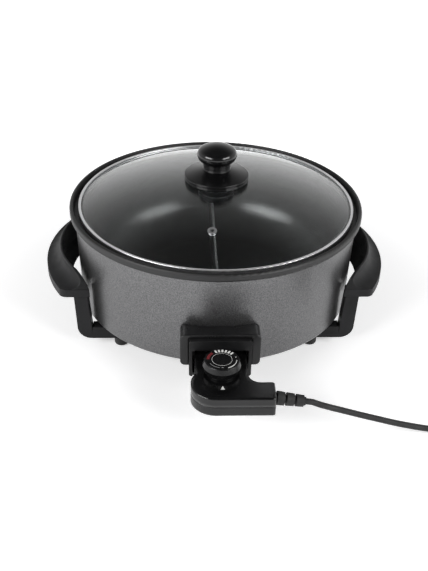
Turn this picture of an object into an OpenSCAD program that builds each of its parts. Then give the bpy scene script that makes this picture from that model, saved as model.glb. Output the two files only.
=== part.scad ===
// Electric grill pan: a deep divided pan on two leg handles, with a lift-off glass lid
// and a plug-in thermostat control on a mains lead.
// Millimetres, +Z up. The origin is on the table, under the middle of the appliance without its lead.
// The pieces are drawn round the pan's axis and moved to that origin at the end.
// The control points to -Y, the two handles to -X and +X.

/* [Pan] */
// Height of the pan's underside above the table
stand_h = 32; // [30:1:45]
// Height of the pan from its underside to the top of its rim
pan_h = 129; // [120:1:150]
// Outer radius of the wall just below the rim
pan_r = 179; // [172:1:190]
// How far the wall draws in from the rim to the base
pan_taper = 4.5; // [2:0.5:6]
// Thickness of the cast wall
pan_wall = 5; // [4:0.5:6]
// Thickness of the cast floor
pan_floor_t = 4.5; // [4:0.5:7]
// Radius between the floor and the wall on the inside
floor_fillet = 58; // [50:1:62]
// Rounding of the outer bottom edge
base_round = 3.5; // [3:0.5:7]
// How far the rim stands out from the wall
rim_out = 6; // [4:0.5:9]
// Height of the rim band
rim_h = 10.5; // [9:0.5:14]
// Rounding of the rim's outer edges
rim_round = 3; // [2:0.5:4]
// Thickness of the wall that divides the pan
divider_t = 3.4; // [2.5:0.1:5]
// How far the divider stays below the top of the rim
divider_drop = 61; // [45:1:75]

/* [Lid] */
// Depth of the lid's seat below the top of the rim
seat_depth = 8.5; // [7:0.5:9]
// Width of the seat that carries the lid
seat_w = 11; // [9:0.5:12]
// Width of the steel band around the glass
band_w = 3.5; // [3:0.5:5]
// Height of the steel band
band_h = 7.5; // [6.5:0.5:8]
// Thickness of the lid's glass
glass_t = 4; // [3:0.5:5]
// Rise of the glass dome above its edge
dome_rise = 32.5; // [25:0.5:45]
// Distance of the steam vent from the middle of the lid
vent_r = 114; // [70:1:140]
// Turn of the steam vent away from the front
vent_turn = 4.5; // [0:0.5:30]
// Outer radius of the vent's eyelet
eyelet_r = 5.5; // [4.5:0.5:7]
// Hole of the vent's eyelet
eyelet_hole_r = 2.5; // [1.5:0.5:3]
// Radius of the knob's ball
knob_r = 24.75; // [20:0.25:28]
// Height of the knob above its widest place
knob_top_h = 13; // [11:0.5:16]
// Depth of the ball's lower bow below its widest place
knob_low_h = 15.5; // [13:0.5:17]
// Radius of the knob's neck
knob_neck_r = 17; // [14:0.5:19]
// Height of the knob's neck
knob_neck_h = 9; // [7:0.5:12]
// Radius of the flared disc under the knob
disc_r = 40.5; // [34:0.5:46]
// Height of the flared disc
disc_h = 11; // [9:0.5:14]
// Radius of the seat under the glass
under_seat_r = 22.5; // [18:0.5:26]
// Height of the seat under the glass
under_seat_h = 22; // [18:1:24]

/* [Handles] */
// How far a handle's lip stands out from its panel
lip_out = 20; // [16:1:24]
// Length of a handle from end to end
handle_len = 192; // [180:2:200]
// Finger room between the handle's panel and the pan
grip_gap = 19; // [15:1:24]
// Radius of the panel's bow, seen from above
panel_bow_r = 132; // [125:1:145]
// Thickness of the handle's panel
panel_t = 3; // [2.5:0.5:4]
// Height of the panel's top edge above the table
panel_top = 105; // [103:0.5:112]
// Height of the panel's lower edge above the table
panel_low = 57; // [54:1:62]
// How far the panel's lower end draws in under the lip
panel_draw = 10.5; // [8:0.5:12]
// Length of the panel below the lip
apron_len = 120; // [90:2:124]
// Height of the lip's top above the table
lip_top = 85; // [80:0.5:87]
// Thickness of the lip
lip_t = 10.5; // [8:0.5:12]
// Radius of the hollow between the panel and the lip
grip_hollow_r = 16.5; // [12:0.5:16.5]
// Rounding of the panel's upper corners
shoulder_r = 26; // [20:1:30]
// Rounding of the lip's corners, seen from above
lip_corner_r = 10; // [6:1:14]
// Radius of the lip's outer bow, seen from above
lip_bow_r = 185; // [170:1:215]
// Clearance between a leg's upper end and the wall
leg_clear = 3.1; // [2.5:0.1:5]
// How far a leg draws in from its upper end to the table
leg_lean = 3.3; // [0:0.1:5]
// How much wider a leg is at its foot than at its head
leg_flare = 2; // [0:0.5:2]
// Width of a leg, seen from the front
leg_w = 16.6; // [14:0.2:17]
// Depth of a leg, seen from the side
leg_d = 14; // [13:0.5:18]
// Rounding of a leg's outer lower corner
leg_corner_r = 17; // [10:1:18]

/* [Feet] */
// Height of a rubber foot
foot_h = 11.5; // [9:0.5:13]
// Radius of a rubber foot
foot_r = 9; // [8:0.5:11]
// Distance of the feet from the middle, left to right
foot_x = 120.5; // [118:0.5:123]
// Radius of the bosses that the handles are screwed to
boss_r = 5; // [4.5:0.5:5.5]
// Height of the bosses under the pan
boss_h = 10; // [8:0.5:12]
// Thread radius of the handle screws
handle_screw_r = 2; // [1.5:0.25:2.5]

/* [Guard] */
// Width of the guard's hood
hood_w = 92.5; // [85:0.5:100]
// Depth of the hood in front of the wall
hood_depth = 15; // [13:0.5:18]
// Height of the hood's top above the table
hood_top = 86.5; // [84:0.5:95]
// Height of the lower end of the hood's cheeks
hood_low = 44.5; // [40:0.5:50]
// Rounding of the hood's upper corners
hood_round = 6; // [3:0.5:8]
// Width of the sleeve inside the hood
sleeve_w = 72; // [70:1:76]
// Thickness of the sleeve's walls
sleeve_t = 4; // [3:0.5:5]
// How far the sleeve stands in front of the hood
sleeve_out = 6; // [3:0.5:8]
// Height of the sleeve's top above the table
sleeve_top = 82; // [80:0.5:83]
// Height of the sleeve's lintel
lintel_h = 13; // [10:0.5:14]
// Height of the sleeve's lower ends above the table
sleeve_low = 32.5; // [32:0.5:36]
// Thread radius of the guard's screws
guard_screw_r = 1.5; // [1:0.25:2]

/* [Element and terminals] */
// Radius of the heating element's ring
element_ring_r = 100; // [80:1:104]
// Radius of the heating element's tube
element_r = 4; // [3:0.25:4.5]
// Distance of the terminal pins from the middle
pin_x = 14; // [12:0.5:16]
// Radius of a terminal pin
pin_r = 2.4; // [2:0.1:3]
// Height of the terminal pins above the table
pin_z = 50; // [48:0.5:52]
// How far the terminal pins stand out of the cast block
pin_out = 13; // [10:0.5:15]
// Radius of the probe
probe_r = 3; // [2:0.25:3.5]
// Clearance around the pins and the probe in the parts that slide over them
slide_gap = 0.3; // [0.2:0.05:0.5]

/* [Control] */
// Height of the control's underside above the table
control_low = 39; // [37:0.5:40]
// Height of the control's lower shell
lower_h = 11.5; // [10:0.5:12]
// Height of the control's upper shell
upper_h = 11.5; // [11:0.5:14]
// Thickness of the control's shells
shell_t = 2.5; // [2:0.25:3]
// Width of the control's neck
neck_w = 59.5; // [57:0.5:60]
// Depth from the neck's end to the control's front
control_len = 88; // [86:1:95]
// Depth of the control's arm
arm_d = 29; // [27:0.5:32]
// Reach of the arm to the right of the middle
arm_right = 57.5; // [54:0.5:60]
// Reach of the body to the left of the middle
arm_left = 35; // [33:0.5:38]
// Radius of the body's front left corner
arm_corner_r = 28; // [22:1:28]
// Radius between the neck and the arm
neck_fillet = 13; // [10:1:18]
// Radius of the dial
dial_r = 21.5; // [18:0.5:23]
// Height of the dial's head
dial_head_h = 13; // [10:0.5:15]
// Height of the knurled band on the side of the dial's head
knurl_h = 6; // [4:0.5:8]
// Number of knurls around the dial
knurls = 54; // [40:2:60]
// Radius of the collar under the dial's head
grip_r = 17.5; // [15:0.5:18]
// Height of the collar
grip_h = 4; // [3:0.5:6]
// Radius of the dial's spindle
spindle_r = 3; // [2.5:0.25:4]
// Turn of the dial between its stops, in degrees
dial_turn = 270; // [180:10:300]
// Travel of the adjusting pin over the dial's whole turn
pin_travel = 1.4; // [0.5:0.1:1.6]

/* [Lead] */
// Diameter of the mains lead
cord_d = 7; // [6:0.5:7]
// Length of the strain relief
relief_len = 34; // [30:1:36]
// Radius of the strain relief where it leaves the control
relief_r = 8; // [7:0.25:8.5]
// Droop of the strain relief, in degrees
relief_droop = 9; // [0:1:12]
// Number of ribs on the strain relief
relief_ribs = 3; // [3:1:5]
// Outer radius of the coil, to the middle of the lead
coil_r = 45; // [43:1:50]
// Turns of the coil, both layers together
coil_turns = 4.25; // [2.25:1:4.25]
// Clear gap between the coil's turns
coil_gap = 0.7; // [0.5:0.1:1.2]
// Thickness of the strap around the coil
tie_t = 1.5; // [1:0.25:2]
// Width of the strap around the coil
tie_w = 8; // [5:0.5:12]
// Radius of the plug
plug_r = 18.5; // [17:0.5:20]
// Length of the plug's body
plug_len = 50; // [46:1:56]
// Distance between the plug's pins
plug_pitch = 19; // [17:0.5:21]

/* [Hidden] */
$fn = 96;
// Small overlap that makes joined volumes one solid
eps = 0.5;
// Clearance between pieces that are fitted together and stay put
fit = 0.15;
// Clearance of a shaft that turns in its bearing
run_fit = 0.08;
// Clearance between a moving piece and what it rests on or passes
rest_gap = 0.2;

// Heights and radii of the pan
rim_top = stand_h + pan_h;
rim_low = rim_top - rim_h;
rim_r = pan_r + rim_out;
base_r = pan_r - pan_taper;
floor_z = stand_h + pan_floor_t;
wall_in_low = base_r - pan_wall;
fillet_top = floor_z + floor_fillet;
wall_in_top = pan_r - pan_wall;
seat_z = rim_top - seat_depth;
// The rim's crest and the slope down to the seat
crest_w = 4;
rim_slope = 2;
seat_out_r = rim_r - crest_w - rim_slope;
seat_in_r = seat_out_r - seat_w;
divider_top = rim_top - divider_drop;
// Outer radius of the wall at a height
function wall_r(z) = base_r + pan_taper * (z - stand_h) / (rim_low - stand_h);
fillet_r = wall_r(fillet_top) - pan_wall - floor_fillet;
// Hollow under the rounded corner, left out at the front where the guard is screwed on
groove_wall = 4;
groove_open = 25;

// Lid
lid_z = seat_z + rest_gap;
band_play = 5;
band_out_r = seat_out_r - band_play;
band_in_r = band_out_r - band_w;
band_lip = 1;
glass_r = band_out_r - band_lip - fit;
glass_edge_z = lid_z + (band_h - glass_t) / 2;
dome_R = (pow(band_in_r, 2) + pow(dome_rise, 2)) / (2 * dome_rise);
dome_top = glass_edge_z + glass_t + dome_rise;
dome_z0 = dome_top - dome_R;
// Height of the glass's upper face at a radius
function glass_z(r) = dome_z0 + sqrt(pow(dome_R, 2) - r * r);
gasket_t = 1.5;
gasket_r = knob_neck_r;
disc_low = dome_top + gasket_t;
disc_top = disc_low + disc_h;
disc_edge = 5;
disc_round = 1.2;
// Skirt round the disc's edge, down to just above the glass
skirt_t = 5;
skirt_gap = 0.5;
skirt_low = glass_z(disc_r - skirt_t) + skirt_gap;
neck_top = disc_top + knob_neck_h;
// The ball's side is a small round between two wide bows
ball_side_r = 9;
ball_side_x = knob_r - ball_side_r;
function bow_r(h) = (pow(ball_side_x, 2) + h * h - pow(ball_side_r, 2)) / (2 * (h - ball_side_r));
ball_mid = neck_top + sqrt(pow(bow_r(knob_low_h), 2) - pow(knob_neck_r, 2)) - bow_r(knob_low_h) + knob_low_h;
knob_ribs = 4;
knob_rib_share = 0.6;
knob_rib_out = 1;
// Bead round the foot of the neck
neck_bead_r = 1.2;
knob_screw_r = 2.5;
knob_screw_head_r = 4.5;
knob_screw_head_h = 3;
insert_r = 4.5;
insert_h = 12;
under_glass_z = glass_z(under_seat_r) - glass_t - 2 * fit;
under_low = under_glass_z - under_seat_h;
under_rings = 3;
under_ring_out = 1.5;
under_core_r = under_seat_r - under_ring_out;
vent_at = [-vent_r * sin(vent_turn), -vent_r * cos(vent_turn)];
vent_tilt = asin(vent_r / dome_R);
eyelet_flange = 1.2;
eyelet_neck_r = (eyelet_r + eyelet_hole_r) / 2;

// Handles
panel_mid = pan_r + grip_gap;
bow_x = panel_mid - panel_bow_r;
handle_reach = panel_mid + lip_out;
lip_bow_x = handle_reach - lip_bow_r;
leg_low = foot_h;
leg_top = stand_h - 4;
leg_front = handle_len / 2 - 2;
leg_back = leg_front - leg_d;
leg_in = sqrt(pow(wall_r(lip_top), 2) - pow(leg_back, 2)) + leg_clear;
leg_reach = leg_in + leg_w;
leg_head = lip_top - lip_t / 4;
lip_low = lip_top - lip_t;
bar_over = 13;
foot_y = leg_front - leg_d / 2;
boss_low = stand_h - boss_h;
boss_gap = 0.3;
screw_head_h = 3;
screw_head_r = 2 * handle_screw_r;
foot_pocket = 6;
foot_round = 3;
screw_end_gap = 1;

// Guard, sleeve and the cast block behind them
hood_front = pan_r + hood_depth;
sleeve_front = hood_front + sleeve_out;
wall_gap = 0.3;
block_front = pan_r + 8;
block_w = 56;
block_low = stand_h + 4;
block_top = pin_z + 14;
tab_t = 4;
tab_w = 14;
tab_in = 20;
tab_y = base_r - tab_in;
tab_end = 9;
tab_x = sleeve_w / 2 - tab_w / 2;
sleeve_side_x = sleeve_w / 2 - sleeve_t / 2;
tab_front = sleeve_front - 8;
guard_screw_head_r = 2.2 * guard_screw_r;
guard_screw_head_h = 2.5;
guard_screw_depth = 6;
hood_screw_x = sleeve_w / 2 - 12;
hood_screw_y = hood_front - 6;
lintel_low = sleeve_top - lintel_h;
sleeve_round = 3;

// Element and terminals
element_z = stand_h - element_r - 0.1;
leg_tube_r = element_r - 0.2;
element_rise_y = block_front - element_r - 2.5;
element_end_z = pin_z - pin_r - 3;
clip_w = 12;
clip_t = 1;
clip_gap = 0.4;
clip_foot = 6;
insulator_r = pin_r + 2;
insulator_in = 5;
probe_z = pin_z - 3;
socket_r = probe_r + 1.5;
socket_in = 14;

// Control
part_z = control_low + lower_h;
control_top = part_z + upper_h;
neck_end = block_front + 3;
control_front = neck_end + control_len;
arm_back = control_front - arm_d;
arm_end_round = 3;
dial_set = 18.5;
dial_y = neck_end + dial_r + dial_set;
grip_low = control_top + rest_gap;
head_low = grip_low + grip_h;
dial_top = head_low + dial_head_h;
cap_t = 1;
cap_r = dial_r - 3;
head_edge = 0.6;
dial_face_r = cap_r + fit + 0.4;
knurl_low_r = dial_r - 1.2;
knurl_top_r = dial_r - 0.5;
knurl_depth = 0.7;
spindle_low = control_low + shell_t + 6;
spindle_flat = 0.8;
bearing_len = 8;
bearing_wall = 2.5;
clip_ring_t = 1;
clip_ring_w = 2;
block_sw_h = 3.8;
block_sw_w = 36;
block_sw_d = 26;
adjust_r = 2;
adjust_gap = 0.1;
adjust_low = control_low + shell_t + 2;
sleeve_wall = 1.2;
contact_r = pin_r + slide_gap + sleeve_wall;
contact_len = 26;
carrier_d = 7;
carrier_y = neck_end + 15;
blade_t = 0.6;
blade_w = 5;
shell_screw_r = 1.25;
shell_screw_head_r = 2.5;
shell_screw_head_h = 1.5;
shell_boss_r = 3.2;
wire_r = 1.1;
wire_x = 3;
// How far the shells' screws stand from the inside of the walls, and where they sit along the arm
shell_screw_in = shell_boss_r + 0.5;
arm_screw_share = 0.55;
neck_screw_x = neck_w / 2 - shell_t - shell_screw_in;
shell_screws = [
    [-neck_screw_x, neck_end + shell_t + shell_screw_in + 2],
    [neck_screw_x, neck_end + shell_t + shell_screw_in + 2],
    [-arm_left * arm_screw_share, arm_back + 2 * shell_screw_in],
    [arm_right * arm_screw_share, control_front - shell_t - shell_screw_in]
];

// The pan's axis lies this far behind the origin
axis_y = (control_front - rim_r) / 2;

// Lead
cord_r = cord_d / 2;
cord_y = control_front - arm_d / 2;
cord_rise = 1.5;
cord_z = part_z + cord_rise;
relief_end_r = cord_r + 3;
relief_core_r = cord_r + 1.3;
relief_dir = [cos(relief_droop), 0, -sin(relief_droop)];
relief_end = [arm_right, -cord_y, cord_z] + relief_len * relief_dir;
relief_hole_r = 5;
relief_flange_r = 7.5;
relief_flange_t = 3;
cord_sides = 10;
// The lead's way from the strain relief to the coil, as it droops to the table and runs along it
cord_route = [
    relief_end, relief_end + 8 * relief_dir, [107, -263.5, 42], [119, -264, 38.2], [131, -264, 34.4],
    [145, -264.5, 30.3], [160, -265, 26], [176, -265.5, 21.6], [192, -266, 17.2], [208, -266, 13.1],
    [224, -266, 9.5], [240, -266, 6.6], [256, -266, 4.7], [272, -266, 4], [286, -266, 4.4],
    [298, -266, 5], [306, -266, 5.2]
];
coil_start = cord_route[len(cord_route) - 1];
coil_lead = 8;
coil_c = [coil_start[0] + coil_lead, coil_start[1] + coil_r];
coil_step = cord_d + coil_gap;
coil_z = coil_start[2];
coil_mid = coil_turns / 2;
coil_climb = 0.25;
coil_rings = 24;
coil_sides = 6;
coil_n = round(coil_turns * coil_rings);
coil_end = [coil_c[0] + coil_r, coil_c[1] + coil_lead, coil_z + coil_step];
tail_len = 44;
plug_y = coil_end[1] + tail_len;
// The lead's short tail from the coil up to the plug
tail_route = [
    coil_end, coil_end + [0, 0.18 * tail_len, 0], coil_end + [0, 0.36 * tail_len, 1],
    coil_end + [0, 0.58 * tail_len, 4], [coil_end[0], plug_y - 0.2 * tail_len, plug_r],
    [coil_end[0], plug_y, plug_r]
];
plug_neck_r = 5.5;
plug_neck_len = 18;
plug_pin_r = 2.4;
plug_pin_len = 19;
plug_pin_in = 6;

// Helpers

// A rectangle with round corners, from its lower left corner
module round_rect(size, r) {
    translate([r, 0]) square([size[0] - 2 * r, size[1]]);
    translate([0, r]) square([size[0], size[1] - 2 * r]);
    for (x = [r, size[0] - r], y = [r, size[1] - r]) translate([x, y]) circle(r);
}

// A cylinder that runs from one y towards the front (-Y)
module along_front(y0, y1, r) {
    translate([0, -y0, 0]) rotate([90, 0, 0]) cylinder(h = y1 - y0, r = r);
}

// A profile drawn in x and z, drawn out along the depth between two distances in front of the middle
module front_extrude(y0, y1) {
    translate([0, -y0, 0]) rotate([90, 0, 0]) linear_extrude(y1 - y0) children();
}

// The wall's outer cone, with a gap all round, for cutting pieces that hug the pan
module wall_cone(gap) {
    translate([0, 0, stand_h - 10]) cylinder(h = pan_h, r1 = wall_r(stand_h - 10) + gap,
        r2 = wall_r(stand_h - 10 + pan_h) + gap, $fn = 180);
}

// Unit vector
function unit(v) = v / norm(v);
// Direction of a route at one of its points
function heading(path, i) = unit(path[min(i + 1, len(path) - 1)] - path[max(i - 1, 0)]);
// Ring of points round a route's point, square to the route
function ring(path, i, r, sides) =
    let (t = heading(path, i), side = unit(cross(t, [0, 0, 1])), up = cross(side, t))
    [for (k = [0 : sides - 1]) path[i] + r * (cos(360 * k / sides) * side + sin(360 * k / sides) * up)];

// A closed tube of triangles along a route
module tube(path, r, sides) {
    n = len(path);
    points = [for (i = [0 : n - 1]) each ring(path, i, r, sides)];
    sides_a = [for (i = [0 : n - 2], k = [0 : sides - 1])
        [i * sides + k, i * sides + (k + 1) % sides, (i + 1) * sides + k]];
    sides_b = [for (i = [0 : n - 2], k = [0 : sides - 1])
        [i * sides + (k + 1) % sides, (i + 1) * sides + (k + 1) % sides, (i + 1) * sides + k]];
    first = [for (k = [1 : sides - 2]) [0, k + 1, k]];
    last = [for (k = [1 : sides - 2]) [(n - 1) * sides, (n - 1) * sides + k, (n - 1) * sides + k + 1]];
    polyhedron(points, [for (f = concat(sides_a, sides_b, first, last)) [f[2], f[1], f[0]]], convexity = 10);
}

// The pan's outline, from its axis outwards
module pan_profile() {
    difference() {
        union() {
            polygon([[0, stand_h], [base_r - base_round, stand_h], [base_r, stand_h + base_round],
                [pan_r, rim_low], [pan_r, rim_top], [0, rim_top]]);
            translate([base_r - base_round, stand_h + base_round]) circle(base_round);
            translate([pan_r - rim_h, rim_low]) round_rect([rim_h + rim_out, rim_h], rim_round);
        }
        pan_cavity();
    }
}

// The hollow of the pan, with the slope and the seat for the lid
module pan_cavity() {
    bead_z = seat_z - seat_w;
    translate([-1, floor_z]) square([fillet_r + 1, pan_h]);
    translate([fillet_r, fillet_top]) circle(floor_fillet, $fn = 60);
    polygon([[0, fillet_top], [fillet_r + floor_fillet, fillet_top],
        [wall_in_top, bead_z], [seat_in_r, seat_z - 2], [seat_in_r, seat_z], [seat_out_r, seat_z],
        [seat_out_r + rim_slope, rim_top], [seat_out_r + rim_slope, rim_top + 1], [0, rim_top + 1]]);
}

// The hollow from below, between the screw bosses and the skirt of the wall
module pan_groove() {
    groove_in = norm([foot_x, foot_y]) + boss_r + groove_wall;
    difference() {
        translate([groove_in, stand_h - 1]) square([wall_in_low - groove_in, floor_fillet]);
        translate([fillet_r, fillet_top]) circle(floor_fillet + pan_floor_t, $fn = 60);
    }
}

// Pan

module pan() {
    color("dimgray") difference() {
        union() {
            rotate_extrude($fn = 180) pan_profile();
            divider();
            for (x = [-1, 1], y = [-1, 1]) translate([x * foot_x, y * foot_y, boss_low])
                cylinder(h = boss_h + eps, r = boss_r);
            terminal_block();
        }
        rotate([0, 0, groove_open - 90]) rotate_extrude(angle = 360 - 2 * groove_open, $fn = 180)
            pan_groove();
        for (x = [-1, 1], y = [-1, 1]) translate([x * foot_x, y * foot_y, boss_low - 1])
            cylinder(h = boss_h, r = handle_screw_r + fit);
        for (x = [-1, 1]) translate([x * tab_x, -tab_y, stand_h - 1])
            cylinder(h = guard_screw_depth + 1.5, r = guard_screw_r + fit);
        for (x = [-1, 1]) translate([x * pin_x, 0, 0]) {
            translate([0, -element_rise_y, block_low - 1])
                cylinder(h = element_end_z - block_low + 2, r = element_r + fit);
            translate([0, 0, pin_z])
                along_front(block_front - insulator_in - fit, block_front + 1, insulator_r + fit);
        }
        translate([0, 0, probe_z])
            along_front(block_front - socket_in - fit, block_front + 1, socket_r + fit);
    }
}

// Wall across the pan, with a round top
module divider() {
    module slab() {
        translate([-divider_t / 2, -pan_r, floor_z - 1])
            cube([divider_t, 2 * pan_r, divider_top - divider_t / 2 - floor_z + 1]);
        translate([0, 0, divider_top - divider_t / 2]) rotate([90, 0, 0])
            cylinder(h = 2 * pan_r, r = divider_t / 2, center = true, $fn = 32);
    }
    intersection() {
        slab();
        translate([0, 0, floor_z - 2])
            cylinder(h = rim_low - floor_z, r1 = wall_in_low + 2, r2 = wall_in_top + 2);
    }
}

// Cast block on the wall that holds the terminals and takes the probe
module terminal_block() {
    difference() {
        front_extrude(pan_r - 14, block_front)
            translate([-block_w / 2, block_low]) round_rect([block_w, block_top - block_low], 4);
        translate([0, 0, stand_h])
            cylinder(h = rim_low - stand_h, r1 = base_r - 2, r2 = pan_r - 2, $fn = 180);
    }
}

// Ring element under the floor, whose two ends rise into the cast block
module heating_element() {
    open_angle = asin(pin_x / element_ring_r);
    ring_y = element_ring_r * cos(open_angle);
    color("slategray") {
        translate([0, 0, element_z]) rotate([0, 0, -90 + open_angle])
            rotate_extrude(angle = 360 - 2 * open_angle)
                translate([element_ring_r, 0]) circle(element_r, $fn = 32);
        for (x = [-pin_x, pin_x]) {
            translate([x, 0, element_z]) along_front(ring_y - element_r / 2, element_rise_y, leg_tube_r);
            translate([x, -element_rise_y, element_z]) sphere(element_r, $fn = 48);
            translate([x, -element_rise_y, element_z])
                cylinder(h = element_end_z - element_z, r = leg_tube_r);
        }
    }
}

// Straps that hold the element against the floor
module element_clips() {
    half = element_r + clip_gap + clip_t;
    low = element_z - half;
    color("silver") for (a = [30, 150, 90]) rotate([0, 0, a])
        translate([element_ring_r, clip_w / 2, 0]) rotate([90, 0, 0]) linear_extrude(clip_w) difference() {
            union() {
                translate([-half, low]) square([2 * half, stand_h - low]);
                translate([-half - clip_foot, stand_h - clip_t]) square([2 * (half + clip_foot), clip_t]);
            }
            translate([-half + clip_t, low + clip_t]) square([2 * (half - clip_t), stand_h - low]);
        }
}

module terminal_pins() {
    color("silver") for (x = [-pin_x, pin_x])
        translate([x, 0, pin_z]) along_front(block_front - insulator_in, block_front + pin_out, pin_r);
}

module pin_insulators() {
    color("ivory") for (x = [-pin_x, pin_x]) translate([x, 0, pin_z]) difference() {
        along_front(block_front - insulator_in, block_front + 1, insulator_r);
        along_front(block_front - insulator_in - 1, block_front + 2, pin_r + fit / 2);
    }
}

// Lining of the hole that the probe slides into
module probe_socket() {
    color("silver") translate([0, 0, probe_z]) difference() {
        along_front(block_front - socket_in, block_front, socket_r);
        along_front(block_front - socket_in + 1, block_front + 1, probe_r + slide_gap);
    }
}

// Guard

module guard_hood() {
    slot_w = sleeve_w + 2 * fit;
    color("black") difference() {
        front_extrude(pan_r - 16, hood_front) difference() {
            translate([-hood_w / 2, hood_low]) round_rect([hood_w, hood_top - hood_low], hood_round);
            translate([-slot_w / 2, hood_low - 1]) square([slot_w, sleeve_top + fit - hood_low + 1]);
        }
        wall_cone(wall_gap);
        for (x = [-1, 1]) translate([x * hood_screw_x, -hood_screw_y, sleeve_top - 1])
            cylinder(h = (hood_top - sleeve_top) * 0.7 + 1, r = guard_screw_r + fit);
    }
}

// Frame inside the hood that guides the control, with two tabs under the pan
module guard_sleeve() {
    inner_w = sleeve_w - 2 * sleeve_t;
    tab_back = tab_y - tab_end;
    color("black") difference() {
        union() {
            difference() {
                front_extrude(pan_r - 16, sleeve_front) difference() {
                    translate([-sleeve_w / 2, sleeve_low])
                        round_rect([sleeve_w, sleeve_top - sleeve_low], sleeve_round);
                    translate([-inner_w / 2, sleeve_low - 1]) square([inner_w, lintel_low - sleeve_low + 1]);
                }
                wall_cone(wall_gap);
            }
            for (x = [-1, 1]) {
                translate([x * tab_x - tab_w / 2, -tab_front, stand_h - tab_t])
                    cube([tab_w, tab_front - tab_back, tab_t]);
                translate([x * sleeve_side_x - sleeve_t / 2, -tab_front, stand_h - 1])
                    cube([sleeve_t, tab_front - base_r - wall_gap - 3, sleeve_low - stand_h + 6]);
            }
        }
        for (x = [-1, 1]) translate([x * tab_x, -tab_y, stand_h - tab_t - 1])
            cylinder(h = tab_t + 2, r = guard_screw_r + fit);
        for (x = [-1, 1]) translate([x * hood_screw_x, -hood_screw_y, lintel_low - 1]) {
            cylinder(h = lintel_h + 2, r = guard_screw_r + fit);
            cylinder(h = guard_screw_head_h + 1.5, r = guard_screw_head_r + fit);
        }
    }
}

// A screw that points up, with its head's top face at the origin
module screw(r, length, head_r, head_h) {
    translate([0, 0, -head_h / 4]) cylinder(h = length + head_h / 4, r = r, $fn = 48);
    difference() {
        translate([0, 0, -head_h]) cylinder(h = head_h, r = head_r, $fn = 48);
        for (a = [0, 90]) translate([0, 0, -head_h]) rotate([0, 0, a])
            cube([head_r * 1.4, head_r / 4, head_h], center = true);
    }
}

module sleeve_screws() {
    color("silver") for (x = [-1, 1]) translate([x * tab_x, -tab_y, stand_h - tab_t])
        screw(guard_screw_r, tab_t + guard_screw_depth - screw_end_gap, guard_screw_head_r,
            guard_screw_head_h);
}

module hood_screws() {
    head_z = lintel_low + guard_screw_head_h + 0.5;
    color("silver") for (x = [-1, 1]) translate([x * hood_screw_x, -hood_screw_y, head_z])
        screw(guard_screw_r, sleeve_top + (hood_top - sleeve_top) * 0.7 - head_z - fit, guard_screw_head_r,
            guard_screw_head_h);
}

// Handles

// The lip, seen from above, with its two outer corners rounded
module lip_outline() {
    corner_y = handle_len / 2 - lip_corner_r;
    corner_x = lip_bow_x + sqrt(pow(lip_bow_r - lip_corner_r, 2) - corner_y * corner_y);
    out = unit([corner_x - lip_bow_x, corner_y]) * 3 * lip_corner_r;
    difference() {
        intersection() {
            translate([lip_bow_x, 0]) circle(lip_bow_r, $fn = 180);
            translate([leg_in - leg_w / 2, -handle_len / 2]) square([handle_reach, handle_len]);
        }
        translate([bow_x, 0]) circle(panel_bow_r + panel_t / 3, $fn = 180);
        for (s = [-1, 1]) difference() {
            polygon([[corner_x, s * corner_y], [corner_x, s * (corner_y + 3 * lip_corner_r)],
                [corner_x + 3 * lip_corner_r, s * (corner_y + 3 * lip_corner_r)],
                [corner_x + out[0], s * (corner_y + out[1])]]);
            translate([corner_x, s * corner_y]) circle(lip_corner_r);
        }
    }
}

// The bowed panel with the hollow that runs out into the lip
module grip_bow() {
    hollow = grip_hollow_r;
    translate([bow_x, 0, 0]) rotate([0, 0, -60]) rotate_extrude(angle = 120, $fn = 180) difference() {
        union() {
            translate([panel_bow_r, lip_low]) square([panel_t, panel_top - lip_low - panel_t / 2]);
            translate([panel_bow_r, 0]) polygon([[0, lip_low + eps], [-panel_draw, panel_low],
                [panel_t - panel_draw, panel_low], [panel_t, lip_low + eps]]);
            translate([panel_bow_r + panel_t / 2, panel_top - panel_t / 2]) circle(panel_t / 2, $fn = 32);
            translate([panel_bow_r + panel_t / 2, lip_top - 1]) square([hollow + panel_t / 2, hollow + 1]);
        }
        translate([panel_bow_r + panel_t + hollow, lip_top + hollow]) circle(hollow);
    }
}

// The outline of the grip, seen from the side: full length above the lip's underside, a short apron below
module grip_side() {
    upper_h = panel_top - lip_low;
    translate([-apron_len / 2, panel_low - 1]) square([apron_len, lip_low + eps - panel_low + 1]);
    translate([-handle_len / 2, lip_low]) difference() {
        square([handle_len, upper_h]);
        for (s = [0, 1]) translate([s * handle_len, upper_h]) difference() {
            square(2 * shoulder_r, center = true);
            translate([(1 - 2 * s) * shoulder_r, -shoulder_r]) circle(shoulder_r);
        }
    }
}

// One handle on the right: grip, two legs and the bars under the pan
module handle_body() {
    intersection() {
        grip_bow();
        rotate([90, 0, 90]) linear_extrude(handle_reach + 2 * panel_t) grip_side();
    }
    translate([0, 0, lip_low]) linear_extrude(lip_t) lip_outline();
    for (s = [-1, 1]) translate([0, s < 0 ? -leg_back : leg_front, 0]) rotate([90, 0, 0])
        linear_extrude(leg_d) leg_outline();
}

// A leg and its bar, seen from the front: the leg leans, and its outer lower corner is round
module leg_outline() {
    bar_in = foot_x - bar_over;
    low_in = leg_in - leg_lean - leg_flare;
    low_out = leg_reach - leg_lean;
    rise = leg_head - leg_low;
    face = norm([leg_lean, rise]);
    corner = [low_out - leg_corner_r * (face - leg_lean) / rise, leg_low + leg_corner_r];
    touch = corner + leg_corner_r * [rise, -leg_lean] / face;
    intersection() {
        union() {
            translate(corner) circle(leg_corner_r);
            polygon([[bar_in, leg_low], [corner[0], leg_low], corner, touch, [leg_reach, leg_head],
                [bar_in, leg_head]]);
        }
        polygon([[low_in, leg_low - 1], [leg_reach + 1, leg_low - 1], [leg_reach + 1, leg_head],
            [leg_in, leg_head]]);
    }
    translate([bar_in, leg_low]) square([low_in + eps - bar_in, leg_top - leg_low]);
}

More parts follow.
